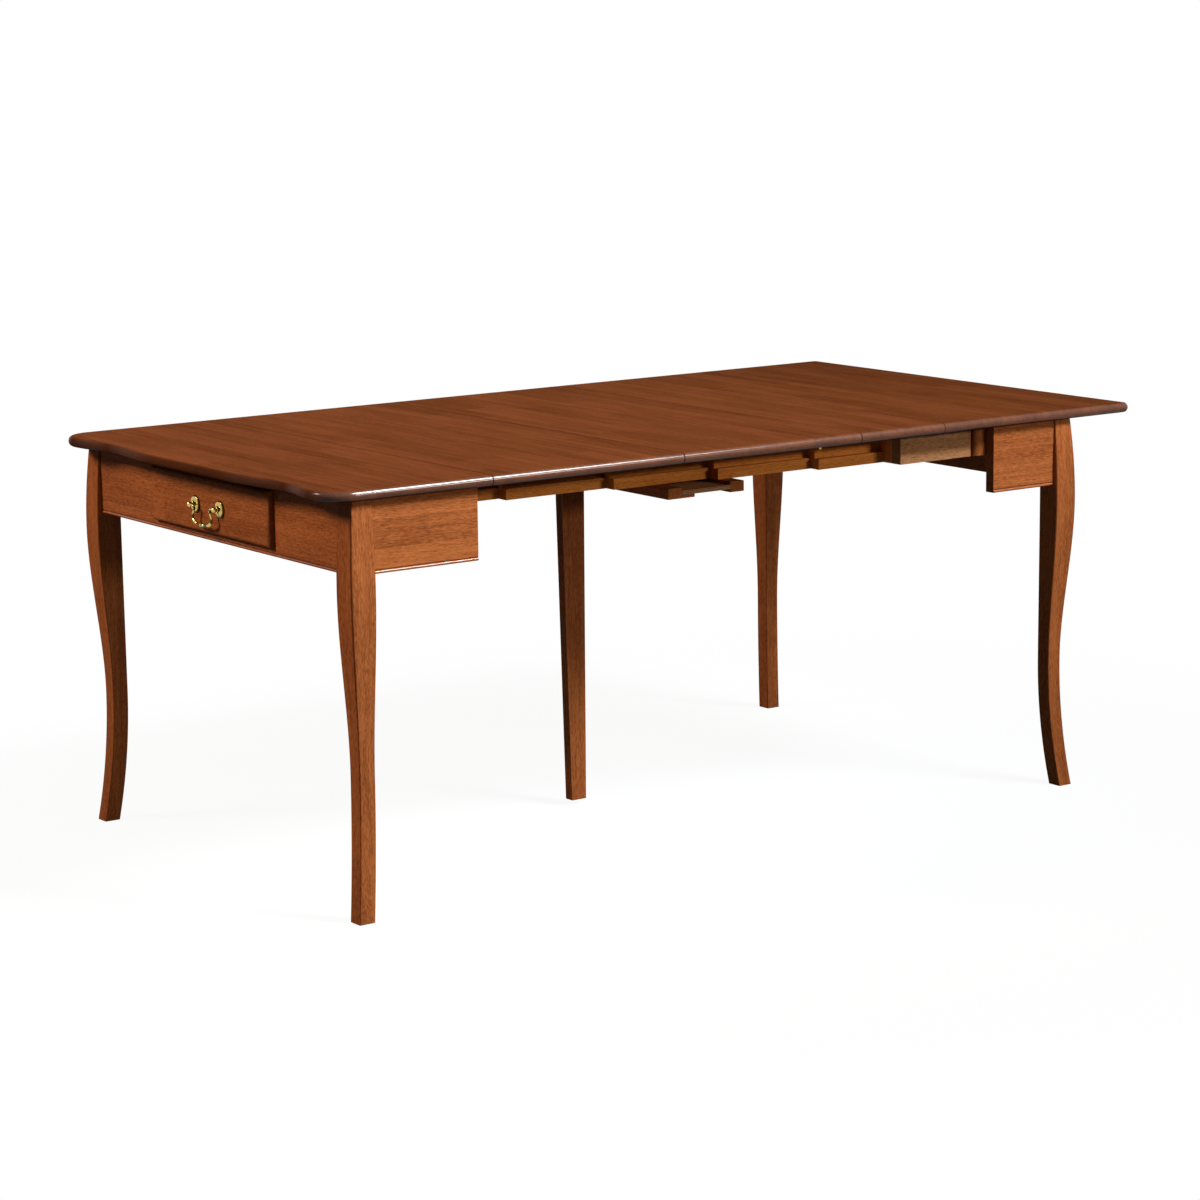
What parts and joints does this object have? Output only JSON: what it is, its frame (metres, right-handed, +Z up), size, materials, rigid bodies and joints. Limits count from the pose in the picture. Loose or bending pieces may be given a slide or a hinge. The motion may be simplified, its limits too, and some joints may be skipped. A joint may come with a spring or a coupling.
{
  "type": "extendable console table",
  "caption": "Wooden console table pulled out to dining length: serpentine front top over a drawer with a brass bail pull, curved legs, sliding frame, lift-out leaves and a straight middle leg.",
  "frame": {"origin": "on the floor, under the middle of the whole top", "axes": "+X along the table from the drawer end to the back end, +Y across it to the left as seen from the drawer, +Z up"},
  "size_m": [1.871, 0.99, 0.762],
  "materials": {
    "top_stain": "satin lacquer over reddish brown stain",
    "frame_stain": "satin lacquer over reddish brown stain",
    "slide_wood": "thinly lacquered yellow brown hardwood",
    "pale_block": "unstained greyish brown hardwood",
    "plywood": "plywood with bare edges",
    "drawer_wood": "clear sealed pale hardwood",
    "polished_brass": "polished and lacquered"
  },
  "bodies": {
    "far_frame": {"far_top": "top_stain", "far_leg_left": "frame_stain", "far_leg_right": "frame_stain", "far_end_apron": "frame_stain", "far_apron_left": "frame_stain", "far_apron_right": "frame_stain", "far_corner_block_left": "slide_wood", "far_corner_block_right": "slide_wood", "slide_f_left": "slide_wood", "slide_f_right": "slide_wood", "slide_f_block_left": "pale_block", "slide_f_block_right": "pale_block", "apron_spacer_left": "frame_stain", "apron_spacer_right": "frame_stain"},
    "stage_e": {"slide_e_left": "slide_wood", "slide_e_right": "slide_wood", "stop_screw_e_left": "polished_brass", "stop_screw_e_right": "polished_brass"},
    "stage_d": {"slide_d_left": "slide_wood", "slide_d_right": "slide_wood", "stop_screw_d_left": "polished_brass", "stop_screw_d_right": "polished_brass"},
    "stage_c": {"slide_c_left": "slide_wood", "slide_c_right": "slide_wood", "centre_rail_near": "frame_stain", "centre_rail_far": "frame_stain", "centre_plate": "plywood", "plate_cleat": "frame_stain", "centre_leg": "frame_stain"},
    "stage_b": {"slide_b_left": "slide_wood", "slide_b_right": "slide_wood"},
    "near_frame": {"near_top": "top_stain", "near_leg_left": "frame_stain", "near_leg_right": "frame_stain", "end_panel_left": "frame_stain", "end_panel_right": "frame_stain", "drawer_rail_top": "frame_stain", "drawer_rail_bottom": "frame_stain", "near_apron_left": "frame_stain", "near_apron_right": "frame_stain", "near_corner_block_left": "slide_wood", "near_corner_block_right": "slide_wood", "slide_a_left": "slide_wood", "slide_a_right": "slide_wood", "drawer_runner_left": "slide_wood", "drawer_runner_right": "slide_wood"},
    "drawer": {"drawer_front": "frame_stain", "drawer_side_left": "drawer_wood", "drawer_side_right": "drawer_wood", "drawer_back": "drawer_wood", "drawer_bottom": "drawer_wood", "pull_post_left": "polished_brass", "pull_post_right": "polished_brass", "pull_nut_left": "polished_brass", "pull_nut_right": "polished_brass"},
    "bail": {"pull_bail": "polished_brass"},
    "leaf_1": {"leaf_1": "top_stain"},
    "leaf_2": {"leaf_2": "top_stain"},
    "leaf_3": {"leaf_3": "top_stain"}
  },
  "joints": [
    {"name": "extension", "type": "slide", "parent": "far_frame", "child": "near_frame", "axis": [-1, 0, 0], "range_m": [0, 0.1]},
    {"name": "stage_b_slide", "type": "slide", "parent": "far_frame", "child": "stage_b", "axis": [-1, 0, 0], "range_m": [0, 0.08]},
    {"name": "stage_c_slide", "type": "slide", "parent": "far_frame", "child": "stage_c", "axis": [-1, 0, 0], "range_m": [0, 0.06]},
    {"name": "stage_d_slide", "type": "slide", "parent": "far_frame", "child": "stage_d", "axis": [-1, 0, 0], "range_m": [0, 0.04]},
    {"name": "stage_e_slide", "type": "slide", "parent": "far_frame", "child": "stage_e", "axis": [-1, 0, 0], "range_m": [0, 0.02]},
    {"name": "drawer_slide", "type": "slide", "parent": "near_frame", "child": "drawer", "axis": [-1, 0, 0], "range_m": [0, 0.17]},
    {"name": "bail_swing", "type": "hinge", "parent": "drawer", "child": "bail", "pos_m": [-0.9001, 0, 0.6772], "axis": [0, 1, 0], "range_deg": [-14, 110]},
    {"name": "leaf_1_lift", "type": "slide", "parent": "far_frame", "child": "leaf_1", "axis": [0, 0, 1], "range_m": [0, 0.15]},
    {"name": "leaf_2_lift", "type": "slide", "parent": "far_frame", "child": "leaf_2", "axis": [0, 0, 1], "range_m": [0, 0.15]},
    {"name": "leaf_3_lift", "type": "slide", "parent": "far_frame", "child": "leaf_3", "axis": [0, 0, 1], "range_m": [0, 0.15]}
  ],
  "couplings": [
    {"joint": "stage_b_slide", "follows": "extension", "ratio": 0.8},
    {"joint": "stage_c_slide", "follows": "extension", "ratio": 0.6},
    {"joint": "stage_d_slide", "follows": "extension", "ratio": 0.4},
    {"joint": "stage_e_slide", "follows": "extension", "ratio": 0.2}
  ]
}
